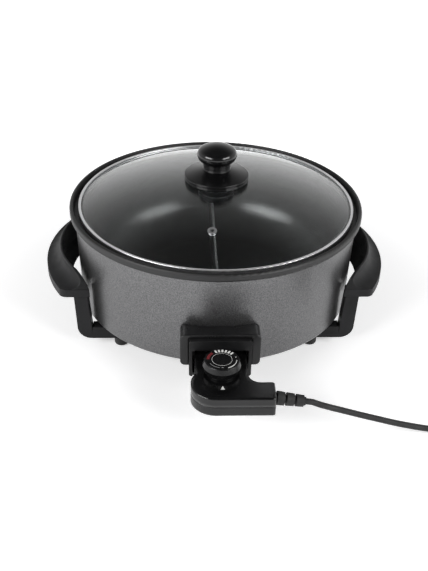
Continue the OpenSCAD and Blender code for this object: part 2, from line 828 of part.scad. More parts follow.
module handle() {
    color("black") difference() {
        handle_body();
        for (s = [-1, 1]) translate([foot_x, s * foot_y, 0]) {
            translate([0, 0, boss_low - fit]) cylinder(h = boss_h + 1, r = boss_r + boss_gap);
            cylinder(h = stand_h, r = handle_screw_r + fit);
        }
    }
}

module handle_right() { handle(); }
module handle_left() { mirror([1, 0, 0]) handle(); }

module handle_screws() {
    color("silver") for (x = [-1, 1], y = [-1, 1]) translate([x * foot_x, y * foot_y, foot_pocket])
        screw(handle_screw_r, stand_h - foot_pocket - 2 * screw_end_gap, screw_head_r, screw_head_h);
}

module rubber_feet() {
    color("black") for (x = [-1, 1], y = [-1, 1]) translate([x * foot_x, y * foot_y, 0])
        rotate_extrude() difference() {
            union() {
                translate([0, foot_round]) square([foot_r, foot_h - foot_round]);
                square([foot_r - foot_round, foot_h]);
                translate([foot_r - foot_round, foot_round]) circle(foot_round, $fn = 32);
            }
            translate([-1, -1]) square([screw_head_r + fit + 1, foot_pocket + 1]);
            translate([-1, 0]) square([handle_screw_r + fit + 1, foot_h + 1]);
            translate([-foot_r, -1]) square([foot_r, foot_h + 2]);
        }
}

// Lid

module lid_glass() {
    color("lightblue", 0.35) difference() {
        rotate_extrude($fn = 180) difference() {
            union() {
                intersection() {
                    difference() {
                        translate([0, dome_z0]) circle(dome_R, $fn = 720);
                        translate([0, dome_z0 - glass_t]) circle(dome_R, $fn = 720);
                    }
                    translate([0, glass_edge_z]) square([band_in_r, dome_rise + 2 * glass_t]);
                }
                translate([band_in_r - 3, glass_edge_z]) square([glass_r - band_in_r + 3, glass_t]);
            }
            square([knob_screw_r + fit, dome_top + 1]);
        }
        translate([vent_at[0], vent_at[1], glass_z(vent_r)]) rotate(vent_rotation())
            cylinder(h = 6 * glass_t, r = eyelet_neck_r + fit, center = true);
    }
}

// Turn that lays a piece square to the glass at the vent
function vent_rotation() = [0, vent_tilt, -90 - vent_turn];

// Steel band folded round the edge of the glass
module lid_band() {
    color("gainsboro") rotate_extrude($fn = 180) difference() {
        translate([band_in_r + fit, lid_z]) round_rect([band_w - fit, band_h], 0.9);
        translate([band_in_r - 1, glass_edge_z - fit])
            square([glass_r + fit - band_in_r + 1, glass_t + 2 * fit]);
    }
}

module vent_eyelet() {
    color("silver") translate([vent_at[0], vent_at[1], glass_z(vent_r)]) rotate(vent_rotation())
        rotate_extrude() difference() {
            union() {
                translate([0, fit]) square([eyelet_r, eyelet_flange]);
                translate([0, -glass_t - eyelet_flange - fit]) square([eyelet_r - 1, eyelet_flange]);
                translate([0, -glass_t - fit - eps]) square([eyelet_neck_r, glass_t + 2 * fit + 2 * eps]);
            }
            translate([-1, -2 * glass_t]) square([eyelet_hole_r + 1, 4 * glass_t]);
            translate([-eyelet_r, -2 * glass_t]) square([eyelet_r, 4 * glass_t]);
        }
}

// One bow of the ball, from its axis to the side round
module ball_bow(h) {
    r = bow_r(h);
    intersection() {
        translate([0, h - r]) circle(r);
        square([ball_side_x * r / (r - ball_side_r), h]);
    }
}

// Flat ball knob with a ribbed neck
module lid_knob() {
    rib = knob_neck_h / knob_ribs;
    color("black") difference() {
        rotate_extrude() {
            translate([0, disc_top]) square([knob_neck_r - knob_rib_out, ball_mid - disc_top]);
            for (i = [0 : knob_ribs - 1]) translate([0, disc_top + i * rib])
                square([knob_neck_r, rib * knob_rib_share]);
            translate([knob_neck_r - neck_bead_r / 2, disc_top + neck_bead_r]) circle(neck_bead_r, $fn = 32);
            translate([0, ball_mid]) {
                translate([ball_side_x, 0]) circle(ball_side_r, $fn = 48);
                ball_bow(knob_top_h);
                mirror([0, 1]) ball_bow(knob_low_h);
            }
        }
        translate([0, 0, disc_top - 1]) cylinder(h = insert_h + 1 + fit, r = insert_r + fit);
    }
}

module knob_insert() {
    color("gold") difference() {
        translate([0, 0, disc_top]) cylinder(h = insert_h, r = insert_r);
        translate([0, 0, disc_top - 1]) cylinder(h = insert_h - 1, r = knob_screw_r + fit);
    }
}

// Flared disc between the knob and the glass, with an edge of two beads
module knob_disc() {
    core_r = disc_r - disc_round;
    edge_top = disc_low + disc_edge;
    bead_h = (edge_top - skirt_low) / 2;
    color("black") rotate_extrude() difference() {
        union() {
            polygon([[0, disc_low], [core_r, disc_low], [core_r, edge_top], [knob_neck_r, disc_top],
                [0, disc_top]]);
            for (i = [0, 1]) translate([disc_r - skirt_t, skirt_low + i * bead_h])
                round_rect([skirt_t, bead_h], disc_round, $fn = 32);
        }
        square([knob_screw_r + fit, disc_top + 1]);
    }
}

module knob_gasket() {
    color("dimgray") rotate_extrude() difference() {
        translate([0, dome_top]) square([gasket_r, gasket_t]);
        translate([-1, dome_top - 1]) square([knob_screw_r + fit + 1, gasket_t + 2]);
    }
}

// Ringed seat under the glass
module knob_seat() {
    ring = under_seat_h / under_rings;
    color("black") rotate_extrude() difference() {
        union() {
            translate([0, under_low]) square([under_core_r, under_seat_h]);
            for (i = [0 : under_rings - 1]) translate([0, under_low + (i + 0.25) * ring])
                square([under_seat_r, 0.75 * ring]);
        }
        translate([-1, under_low - 1]) square([knob_screw_r + fit + 1, under_seat_h + 2]);
        translate([-1, under_low - 1]) square([knob_screw_head_r + fit + 1, knob_screw_head_h + 2]);
    }
}

module knob_screw() {
    head_z = under_low + knob_screw_head_h + 1;
    color("silver") translate([0, 0, head_z])
        screw(knob_screw_r, disc_top + insert_h - 2 - head_z, knob_screw_head_r, knob_screw_head_h);
}

// Control

// Outline of the control, seen from above, drawn in by an inset
module control_outline(inset) {
    neck_half = neck_w / 2;
    corner = [-arm_left + arm_corner_r, -control_front + arm_corner_r];
    fillet_c = [neck_half + neck_fillet, -arm_back + neck_fillet];
    end_round = max(arm_end_round - inset, 0.4);
    translate([-neck_half + inset, corner[1]])
        square([neck_w - 2 * inset, -neck_end - inset - corner[1]]);
    translate(corner) circle(arm_corner_r - inset);
    translate([corner[0], -control_front + inset])
        round_rect([arm_right - inset - corner[0], arm_d - 2 * inset], end_round);
    translate([corner[0], -control_front + inset]) square([arm_corner_r, arm_d - 2 * inset]);
    difference() {
        translate([neck_half - inset - 1, -arm_back - inset - 1])
            square([neck_fillet + inset + 1, neck_fillet + inset + 1]);
        translate(fillet_c) circle(neck_fillet + inset);
    }
}

// One closed shell of the control: a floor at one side, walls all round
module control_shell(z0, h, floor_z0) {
    difference() {
        translate([0, 0, z0]) linear_extrude(h) control_outline(0);
        translate([0, 0, floor_z0]) linear_extrude(h - shell_t + 1) control_outline(shell_t);
    }
}

// Holes in the neck's end for the pins and the probe, and in the arm's end for the strain relief
module control_holes() {
    for (x = [-pin_x, pin_x]) translate([x, 0, pin_z])
        along_front(neck_end - 1, neck_end + shell_t + 1, contact_r + slide_gap);
    translate([0, 0, probe_z]) along_front(neck_end - 1, neck_end + shell_t + 1, probe_r + slide_gap);
    translate([arm_right - shell_t - 1, -cord_y, cord_z]) rotate([0, 90, 0])
        cylinder(h = shell_t + 2, r = relief_hole_r + fit);
}

module control_upper() {
    boss_z = control_top - shell_t - bearing_len + shell_t;
    color("black") difference() {
        union() {
            control_shell(part_z, upper_h, part_z - 1);
            translate([0, -dial_y, boss_z])
                cylinder(h = bearing_len, r = spindle_r + run_fit + bearing_wall);
            for (p = shell_screws) translate([p[0], -p[1], part_z])
                cylinder(h = upper_h - 1, r = shell_boss_r);
        }
        translate([0, -dial_y, boss_z - 1]) cylinder(h = bearing_len + 2, r = spindle_r + run_fit);
        for (p = shell_screws) translate([p[0], -p[1], part_z - 1])
            cylinder(h = upper_h - shell_t, r = shell_screw_r + fit);
        control_holes();
    }
}

module control_lower() {
    color("black") difference() {
        union() {
            control_shell(control_low, lower_h, control_low + shell_t);
            for (p = shell_screws) translate([p[0], -p[1], control_low])
                cylinder(h = lower_h, r = shell_boss_r);
        }
        for (p = shell_screws) translate([p[0], -p[1], control_low - 1]) {
            cylinder(h = lower_h + 2, r = shell_screw_r + fit);
            cylinder(h = shell_screw_head_h + 1.2, r = shell_screw_head_r + fit);
        }
        control_holes();
    }
}

module control_screws() {
    head_z = control_low + shell_screw_head_h + 0.2;
    color("silver") for (p = shell_screws) translate([p[0], -p[1], head_z])
        screw(shell_screw_r, part_z + upper_h - shell_t - 1 - screw_end_gap - head_z, shell_screw_head_r,
            shell_screw_head_h);
}

// Cross wall inside the neck that holds the contacts and the probe
module contact_carrier() {
    low = control_low + shell_t;
    color("ivory") difference() {
        front_extrude(carrier_y, carrier_y + carrier_d)
            translate([-neck_w / 2 + shell_t + fit, low])
                square([neck_w - 2 * (shell_t + fit), control_top - shell_t - fit - low]);
        for (x = [-pin_x, pin_x]) translate([x, 0, pin_z])
            along_front(carrier_y - 1, carrier_y + carrier_d + 1, contact_r + fit / 2);
        translate([0, 0, probe_z]) along_front(carrier_y - 1, carrier_y + carrier_d + 1, probe_r + fit / 2);
    }
}

module contact_sleeves() {
    color("gold") for (x = [-pin_x, pin_x]) translate([x, 0, pin_z]) difference() {
        along_front(neck_end + 0.5, neck_end + contact_len, contact_r);
        along_front(neck_end - 1, neck_end + contact_len - 2, pin_r + slide_gap);
    }
}

module probe() {
    color("silver") translate([0, 0, probe_z])
        along_front(block_front - socket_in + 2, carrier_y + carrier_d + 3, probe_r);
}

// Thermostat switch under the dial, with a guide for the adjusting pin
module switch_block() {
    low = control_low + shell_t;
    color("ivory") difference() {
        translate([-block_sw_w / 2, -dial_y - block_sw_d / 2, low])
            cube([block_sw_w, block_sw_d, block_sw_h]);
        translate([0, -dial_y, low - 1]) cylinder(h = block_sw_h + 2, r = adjust_r + run_fit);
    }
}

module contact_blades() {
    z = control_low + shell_t + block_sw_h;
    y0 = carrier_y + carrier_d + 1;
    y1 = dial_y + block_sw_d / 2 - 4;
    color("gold") for (x = [-pin_x, pin_x]) {
        translate([x - blade_w / 2, -y1, z]) cube([blade_w, y1 - y0, blade_t]);
        translate([x - blade_w / 2, -y0 - blade_t, z])
            cube([blade_w, blade_t, pin_z - contact_r - fit - z]);
    }
}

// Insulated leads from the strain relief to the switch
module lead_wires() {
    x0 = arm_right - shell_t - relief_flange_t - fit;
    z0 = control_low + shell_t + block_sw_h + blade_t + wire_r + fit;
    y_in = -dial_y - block_sw_d / 2 + 3;
    color("sienna") for (s = [-1, 1]) {
        y = -cord_y + s * wire_x;
        x = s * 5;
        tube([[x0, y, cord_z], [x0 - 3, y, cord_z], [x0 - 10, y, (cord_z + z0) / 2], [x0 - 18, y, z0],
            [x + 9, y, z0], [x + 3, y + 2, z0], [x, y + 7, z0], [x, y_in, z0]], wire_r, 8);
    }
}

// Tapered, ribbed sleeve on the lead where it leaves the control
module strain_relief() {
    start = relief_r * sin(relief_droop) + fit;
    rib = (relief_len - start) / relief_ribs;
    groove = rib * 0.22;
    taper = (relief_r - relief_end_r) / relief_len;
    color("black") translate([arm_right, -cord_y, cord_z]) {
        rotate([0, 90, 0]) rotate_extrude() {
            translate([0, -shell_t - fit - relief_flange_t]) square([relief_flange_r, relief_flange_t]);
            translate([0, -shell_t - fit - eps]) square([relief_hole_r, shell_t + 2 * start + 1]);
        }
        rotate([0, 90 + relief_droop, 0]) rotate_extrude() {
            translate([0, start]) square([relief_core_r, relief_len - start]);
            for (i = [0 : relief_ribs - 1]) let (z = start + i * rib, z1 = start + (i + 1) * rib - groove)
                polygon([[0, z], [relief_r - taper * z, z], [relief_r - taper * z1, z1], [0, z1]]);
        }
    }
}

// Lead

module mains_cord() {
    color("black") tube(cord_route, cord_r, cord_sides);
}

// A point of the coil after so many turns: in, up one layer, and out again
function coil_radius(t) = coil_r - coil_step * (coil_mid - abs(t - coil_mid));
function coil_height(t) =
    let (u = max(0, min(1, (t - coil_mid + coil_climb) / (2 * coil_climb))))
    coil_z + coil_step * u * u * (3 - 2 * u);
function coil_point(t) =
    let (a = -90 + 360 * t, r = coil_radius(t))
    [coil_c[0] + r * cos(a), coil_c[1] + r * sin(a), coil_height(t)];
coil_turn_points = [for (i = [0 : coil_n]) coil_point(coil_turns * i / coil_n)];
coil_path = concat([coil_start], coil_turn_points, [coil_end]);
// Least gap of the coil to itself, between points at least half a turn apart
coil_self_gap = min([for (i = [0 : coil_n], j = [i + coil_rings / 2 : coil_n])
    norm(coil_turn_points[i] - coil_turn_points[j])]) - cord_d;

module cord_coil() {
    echo(coil_self_gap = coil_self_gap);
    color("black") tube(coil_path, cord_r, coil_sides);
}

module cord_tail() {
    color("black") tube(tail_route, cord_r, cord_sides);
}

// Strap round the coil's turns, on the side towards the pan
module cord_tie() {
    turns = [for (i = [0 : floor(coil_turns - 0.75)]) coil_radius(0.75 + i)];
    gap = 0.6;
    in_r = min(turns) - cord_r - gap;
    out_r = max(turns) + cord_r + gap;
    z0 = coil_z - cord_r - rest_gap;
    z1 = coil_z + coil_step + cord_r + gap;
    color("dimgray") translate([coil_c[0], coil_c[1] + tie_w / 2, 0]) rotate([90, 0, 0])
        linear_extrude(tie_w) difference() {
            translate([-out_r - tie_t, z0 - tie_t])
                round_rect([out_r - in_r + 2 * tie_t, z1 - z0 + 2 * tie_t], tie_t * 2);
            translate([-out_r, z0]) round_rect([out_r - in_r, z1 - z0], tie_t);
        }
}

// Round two-pin plug that lies on the table
module plug_body() {
    face = plug_len;
    shoulder = plug_neck_len + 12;
    color("black") translate([coil_end[0], plug_y, plug_r]) rotate([-90, 0, 0]) difference() {
        rotate_extrude() {
            polygon([[0, 0], [plug_neck_r - 1, 0], [plug_neck_r, plug_neck_len],
                [plug_r - 6, plug_neck_len + 3], [plug_r - 1, shoulder], [plug_r, shoulder + 2],
                [plug_r, face - 1], [plug_r - 1, face], [0, face]]);
            for (i = [0 : 3]) translate([0, 2 + 4 * i]) square([plug_neck_r + 0.6, 2]);
        }
        for (x = [-plug_pitch / 2, plug_pitch / 2]) translate([x, 0, face - plug_pin_in])
            cylinder(h = plug_pin_in + 1, r = plug_pin_r + fit / 2);
    }
}

module plug_pins() {
    color("silver") translate([coil_end[0], plug_y, plug_r]) rotate([-90, 0, 0])
        for (x = [-plug_pitch / 2, plug_pitch / 2]) translate([x, 0, plug_len - plug_pin_in]) {
            cylinder(h = plug_pin_in + plug_pin_len - plug_pin_r, r = plug_pin_r, $fn = 48);
            translate([0, 0, plug_pin_in + plug_pin_len - plug_pin_r]) sphere(plug_pin_r, $fn = 48);
        }
}

// Dial

// Outline of the knurled band at its lower end
function knurl_point(i) =
    let (a = 180 * i / knurls, r = knurl_low_r - (i % 2) * knurl_depth) [r * cos(a), r * sin(a)];

module dial() {
    smooth_low = head_low + knurl_h;
    color("black") translate([0, -dial_y, 0]) difference() {
        union() {
            translate([0, 0, grip_low]) cylinder(h = grip_h + eps, r = grip_r);
            translate([0, 0, head_low]) linear_extrude(knurl_h + eps, scale = knurl_top_r / knurl_low_r)
                polygon([for (i = [0 : 2 * knurls - 1]) knurl_point(i)]);
            rotate_extrude() polygon([[0, smooth_low], [dial_r, smooth_low], [dial_r, smooth_low + head_edge],
                [dial_face_r + head_edge, dial_top - head_edge], [dial_face_r, dial_top], [0, dial_top]]);
        }
        translate([0, 0, dial_top - cap_t]) cylinder(h = cap_t + 1, r = cap_r + fit);
        translate([0, 0, grip_low - 1]) difference() {
            cylinder(h = dial_top - cap_t - 2 - grip_low + 1, r = spindle_r + fit / 2);
            translate([spindle_r - spindle_flat + fit / 2, -spindle_r - 1, 0])
                cube([spindle_r, 2 * spindle_r + 2, dial_top]);
        }
    }
}

// Plate with the printed scale on top of the dial
module dial_cap() {
    color("dimgray") translate([0, -dial_y, dial_top - cap_t]) cylinder(h = cap_t, r = cap_r);
}

module dial_spindle() {
    flat_low = grip_low;
    color("silver") translate([0, -dial_y, 0]) difference() {
        translate([0, 0, spindle_low]) cylinder(h = dial_top - cap_t - 2.5 - spindle_low, r = spindle_r);
        translate([spindle_r - spindle_flat, -spindle_r - 1, flat_low])
            cube([spindle_r, 2 * spindle_r + 2, dial_top]);
    }
}

// Ring that keeps the spindle in its bearing
module spindle_clip() {
    z = control_top - bearing_len - rest_gap - clip_ring_t;
    color("silver") translate([0, -dial_y, z]) difference() {
        cylinder(h = clip_ring_t, r = spindle_r + clip_ring_w);
        translate([0, 0, -1]) cylinder(h = clip_ring_t + 2, r = spindle_r + fit / 2);
    }
}

// Pin that the spindle presses down into the switch as the dial turns
module adjusting_pin() {
    color("ivory") translate([0, -dial_y, adjust_low])
        cylinder(h = spindle_low - adjust_gap - adjust_low, r = adjust_r);
}

translate([0, axis_y, 0]) {
    pan();
    heating_element();
    element_clips();
    terminal_pins();
    pin_insulators();
    probe_socket();
    guard_hood();
    guard_sleeve();
    sleeve_screws();
    hood_screws();
    handle_left();
    handle_right();
    handle_screws();
    rubber_feet();
    lid_glass();
    lid_band();
    vent_eyelet();
    lid_knob();
    knob_insert();
    knob_disc();
    knob_gasket();
    knob_seat();
    knob_screw();
    control_upper();
    control_lower();
    control_screws();
    contact_carrier();
    contact_sleeves();
    probe();
    switch_block();
    contact_blades();
    lead_wires();
    strain_relief();
    mains_cord();
    cord_coil();
    cord_tail();
    cord_tie();
    plug_body();
    plug_pins();
    dial();
    dial_cap();
    dial_spindle();
    spindle_clip();
    adjusting_pin();
}
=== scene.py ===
# %% [markdown]
# # An electric grill pan
# This lesson dresses a finished model. The solids come in as a fixed frame, already cut into the
# bodies that move, and every piece made here rides on one of those bodies. All lengths are in metres,
# with the table at z = 0, the control towards -Y and the handles towards -X and +X. The pan's axis lies a
# little behind the origin, because the control counts as part of the appliance.

# %% Load the frame
import math
import bpy
import bmesh
from mathutils import Matrix, Vector


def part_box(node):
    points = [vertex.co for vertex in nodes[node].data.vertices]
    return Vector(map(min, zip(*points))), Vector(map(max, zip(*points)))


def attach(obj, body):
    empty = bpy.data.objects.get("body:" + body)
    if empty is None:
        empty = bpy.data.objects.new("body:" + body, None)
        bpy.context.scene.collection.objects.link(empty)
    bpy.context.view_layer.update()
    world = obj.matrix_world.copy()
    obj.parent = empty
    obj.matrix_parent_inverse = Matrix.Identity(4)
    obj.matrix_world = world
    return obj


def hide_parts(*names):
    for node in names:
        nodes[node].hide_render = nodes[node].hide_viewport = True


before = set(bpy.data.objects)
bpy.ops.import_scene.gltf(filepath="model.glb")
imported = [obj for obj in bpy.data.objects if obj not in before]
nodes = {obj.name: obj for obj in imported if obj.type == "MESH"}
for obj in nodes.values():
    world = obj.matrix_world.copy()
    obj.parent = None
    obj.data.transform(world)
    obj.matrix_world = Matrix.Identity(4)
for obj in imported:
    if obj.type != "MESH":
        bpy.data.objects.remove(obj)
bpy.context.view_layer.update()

scene = bpy.context.scene
MM = 0.001
AXIS_Y = 0.0465

# %% [markdown]
# ## The camera
# A photograph fixes a camera by its perspective: how round the lid's ring looks gives the height, and
# how fast the wall narrows gives the lens. The numbers were fitted to the ring, the rim, the feet and the
# guard. A camera aimed by three angles (down, sideways, tilt) is easier to read than a tracking constraint.

# %% Camera
FOCAL_PX = 900.0
IMAGE_H = 571.0
camera_data = bpy.data.cameras.new("camera")
camera_data.sensor_width = 36.0
camera_data.lens = FOCAL_PX * camera_data.sensor_width / IMAGE_H
camera = bpy.data.objects.new("camera", camera_data)
camera.location = (-0.0493, AXIS_Y - 1.0272, 0.6796)
CAMERA_PITCH = 0.5629
CAMERA_YAW = 0.0481
CAMERA_ROLL = 0.0244
aim = (Matrix.Rotation(-CAMERA_YAW, 3, "Z") @ Matrix.Rotation(math.pi / 2 - CAMERA_PITCH, 3, "X")
       @ Matrix.Rotation(CAMERA_ROLL, 3, "Z"))
camera.rotation_euler = aim.to_euler()
scene.collection.objects.link(camera)
scene.camera = camera
print("lens:", round(camera_data.lens, 2), "mm")

# %% [markdown]
# ## The mains lead
# The real lead is one length of round rubber flex: it leaves the control, sinks to the table and runs
# out of the picture, where the rest of it is coiled and tied next to its plug. A curve with a round bevel
# is the natural tool, since its own line is the lead's centreline and can be measured. The free stretch
# follows a few chosen points, the coil follows a formula, and both become one open spline.

# %% Route of the lead
CORD_D = 7.0 * MM
RELIEF_LEN = 34.0
RELIEF_DROOP = math.radians(9)
RELIEF_STRAIGHT = 8.0
ARM_END = Vector((57.5, -263.5, 52.0))
relief_way = Vector((math.cos(RELIEF_DROOP), 0, -math.sin(RELIEF_DROOP)))
relief_end = ARM_END + RELIEF_LEN * relief_way
FREE_MM = [
    relief_end, relief_end + RELIEF_STRAIGHT * relief_way,
    (107, -263.5, 42), (119, -264, 38.2), (131, -264, 34.4), (145, -264.5, 30.3),
    (160, -265, 26), (176, -265.5, 21.6), (192, -266, 17.2), (208, -266, 13.1),
    (224, -266, 9.5), (240, -266, 6.6), (256, -266, 4.7), (272, -266, 4), (286, -266, 4.4),
    (298, -266, 5), (306, -266, 5.2),
]
COIL_R = 45.0
COIL_TURNS = 4.25
COIL_STEP = 7.7
COIL_LEAD = 8.0
COIL_CLIMB = 0.25
COIL_PARTS = 204
COIL_Z = FREE_MM[-1][2]
COIL_C = (FREE_MM[-1][0] + COIL_LEAD, FREE_MM[-1][1] + COIL_R)
PLUG_Z = 18.5


def coil_point(turn):
    """A point of the coil: in, up one layer, and out again."""
    middle = COIL_TURNS / 2
    radius = COIL_R - COIL_STEP * (middle - abs(turn - middle))
    climb = min(1.0, max(0.0, (turn - middle + COIL_CLIMB) / (2 * COIL_CLIMB)))
    height = COIL_Z + COIL_STEP * climb * climb * (3 - 2 * climb)
    angle = math.radians(-90 + 360 * turn)
    return (COIL_C[0] + radius * math.cos(angle), COIL_C[1] + radius * math.sin(angle), height)


def smooth(points, parts):
    """More points on a smooth line through the given ones."""
    out = []
    for i in range(len(points) - 1):
        p0, p1, p2, p3 = (Vector(points[max(0, min(len(points) - 1, i + k))]) for k in (-1, 0, 1, 2))
        for step in range(parts):
            t = step / parts
            out.append(0.5 * (2 * p1 + (p2 - p0) * t + (2 * p0 - 5 * p1 + 4 * p2 - p3) * t * t
                              + (3 * p1 - p0 - 3 * p2 + p3) * t ** 3))
    out.append(Vector(points[-1]))
    return out


COIL_POINTS = [coil_point(COIL_TURNS * i / COIL_PARTS) for i in range(COIL_PARTS + 1)]
COIL_TOP = COIL_STEP + COIL_Z
coil_end = Vector((COIL_C[0] + COIL_R, COIL_C[1] + COIL_LEAD, COIL_TOP))
TAIL_LEN = 44.0
TAIL_WAY = [(0.0, COIL_TOP), (0.18, COIL_TOP), (0.36, 13.9), (0.58, 16.9), (0.8, PLUG_Z), (1.0, PLUG_Z)]
TAIL = [Vector((coil_end.x, coil_end.y + share * TAIL_LEN, height)) for share, height in TAIL_WAY]
route = smooth(FREE_MM, 3) + [Vector(p) for p in COIL_POINTS] + smooth(TAIL, 3)
route = [p * MM + Vector((0, AXIS_Y, 0)) for p in route]

# %% Lead as a curve
# The bevel is one unit and each point's radius is the lead's own, because the curve's box grows by it.
cord_curve = bpy.data.curves.new("mains_lead", "CURVE")
cord_curve.dimensions = "3D"
cord_curve.bevel_depth = 1.0
cord_curve.bevel_resolution = 5
cord_curve.use_fill_caps = True
spline = cord_curve.splines.new("POLY")
spline.points.add(len(route) - 1)
for point, place in zip(spline.points, route):
    point.co = (*place, 1.0)
    point.radius = CORD_D / 2
mains_lead = bpy.data.objects.new("mains_lead", cord_curve)
scene.collection.objects.link(mains_lead)
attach(mains_lead, "control")
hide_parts("mains_cord", "cord_coil", "cord_tail")
print("lead drawn")

# %% [markdown]
# ## A helper for finishes
# No real surface has one flat colour: moulded plastic is slightly cloudy, steel has fine streaks, rubber
# is dusty. One helper builds a finish from a noise that shifts the colour, a second noise that shifts the
# shine, and a fine bump. Moulded pieces have no knife edges, so a finish may also round the edges for the
# light, which leaves the solids as they are. Each finish then only states its own numbers.

# %% Finish helper
CLOUD_LOW = 0.3
CLOUD_HIGH = 0.7


def link(tree, a, a_name, b, b_name):
    """Joins one node's output to another node's input, both by name."""
    tree.links.new(a.outputs[a_name], b.inputs[b_name])


def start_finish(name):
    """A new material with its tree, its shader and the object's own coordinates."""
    material = bpy.data.materials.new(name)
    material.use_nodes = True
    tree = material.node_tree
    shader = tree.nodes["Principled BSDF"]
    place = tree.nodes.new("ShaderNodeTexCoord")
    return material, tree, shader, place


def noise(tree, place, scale, detail=3.0):
    """A cloud of values between 0 and 1 around the object."""
    cloud = tree.nodes.new("ShaderNodeTexNoise")
    cloud.inputs["Scale"].default_value = scale
    cloud.inputs["Detail"].default_value = detail
    link(tree, place, "Object", cloud, "Vector")
    return cloud


def between(tree, source, low, high):
    """Spreads a cloud's values over a range."""
    spread = tree.nodes.new("ShaderNodeMapRange")
    spread.inputs["From Min"].default_value = CLOUD_LOW
    spread.inputs["From Max"].default_value = CLOUD_HIGH
    spread.inputs["To Min"].default_value = low
    spread.inputs["To Max"].default_value = high
    link(tree, source, "Fac", spread, "Value")
    return spread


def tint(tree, source, dark, light):
    """A colour that runs from dark to light with a cloud."""
    ramp = tree.nodes.new("ShaderNodeValToRGB")
    ramp.color_ramp.elements[0].position = CLOUD_LOW
    ramp.color_ramp.elements[1].position = CLOUD_HIGH
    ramp.color_ramp.elements[0].color = (*dark, 1.0)
    ramp.color_ramp.elements[1].color = (*light, 1.0)
    link(tree, source, "Fac", ramp, "Fac")
    return ramp


def soft_edges(tree, bump, radius):
    """Lets light see the edges as if they were rounded by a radius in metres."""
    rounding = tree.nodes.new("ShaderNodeBevel")
    rounding.samples = 16
    rounding.inputs["Radius"].default_value = radius
    link(tree, rounding, "Normal", bump, "Normal")


def grain(tree, place, shader, scale, depth, strength=0.5, edge=0.0):
    """A fine bump on the surface, with its depth in metres, and rounded edges."""
    cloud = noise(tree, place, scale, 4.0)
    bump = tree.nodes.new("ShaderNodeBump")
    bump.inputs["Strength"].default_value = strength
    bump.inputs["Distance"].default_value = depth
    link(tree, cloud, "Fac", bump, "Height")
    link(tree, bump, "Normal", shader, "Normal")
    if edge > 0:
        soft_edges(tree, bump, edge)
    return bump


def finish(name, dark, light, shine, metal=0.0, specular=0.5, cloud_scale=40.0, grain_scale=900.0,
           grain_depth=0.00005, grain_strength=0.4, edge=0.0):
    """A whole finish: colour between dark and light, roughness between the two values of shine."""
    material, tree, shader, place = start_finish(name)
    cloud = noise(tree, place, cloud_scale)
    link(tree, tint(tree, cloud, dark, light), "Color", shader, "Base Color")
    link(tree, between(tree, noise(tree, place, cloud_scale * 2.3), *shine), "Result", shader, "Roughness")
    shader.inputs["Metallic"].default_value = metal
    shader.inputs["Specular IOR Level"].default_value = specular
    grain(tree, place, shader, grain_scale, grain_depth, grain_strength, edge)
    return material


def wear(material, *names):
    """Puts a finish on CAD nodes."""
    for name in names:
        data = nodes[name].data
        data.materials.clear()
        data.materials.append(material)


print("finish helper ready")

# %% [markdown]
# ## The pan's finishes
# One casting carries three finishes: grey hammered paint outside, a black rim, and black non-stick
# inside. Splitting the mesh would work, but the casting has to stay whole, so the finish asks where a
# point lies: its distance from the axis and its height decide which of the three it wears.

# %% Pan finish
def value_math(tree, operation, a, b):
    """One sum on two values, each a number or a (node, output) pair."""
    node = tree.nodes.new("ShaderNodeMath")
    node.operation = operation
    for socket, item in zip(node.inputs, (a, b)):
        if isinstance(item, tuple):
            tree.links.new(item[0].outputs[item[1]], socket)
        else:
            socket.default_value = item
    return (node, "Value")


def mix_values(tree, factor, a, b):
    """Mixes two numbers by a factor pair."""
    mixer = tree.nodes.new("ShaderNodeMix")
    mixer.data_type = "FLOAT"
    tree.links.new(factor[0].outputs[factor[1]], mixer.inputs[0])
    for socket, item in ((mixer.inputs[2], a), (mixer.inputs[3], b)):
        if isinstance(item, tuple):
            tree.links.new(item[0].outputs[item[1]], socket)
        else:
            socket.default_value = item
    return (mixer, mixer.outputs[0].name)


def mix_colours(tree, factor, a, b):
    """Mixes two colour outputs by a factor pair."""
    mixer = tree.nodes.new("ShaderNodeMix")
    mixer.data_type = "RGBA"
    tree.links.new(factor[0].outputs[factor[1]], mixer.inputs[0])
    tree.links.new(a, mixer.inputs[6])
    tree.links.new(b, mixer.inputs[7])
    return mixer.outputs[2]


STAND_Z = 0.032
RIM_Z = 0.1503
WALL_MID_LOW = 0.1720
WALL_LEAN = 0.0045 / (RIM_Z - STAND_Z)
DIVIDER_HALF = 0.0018
DIVIDER_CREST = 0.0982
PAINT_SPECKLE = 800.0
PAINT_SHINE = 0.30
PAINT_METAL = 0.9
COAT_SHINE = 0.30
RIM_SHINE = 0.52
HAMMER_SCALE = 700.0
HAMMER_DEPTH = 0.0004
HAMMER_STRENGTH = 0.35
COAT_STRENGTH = 0.12


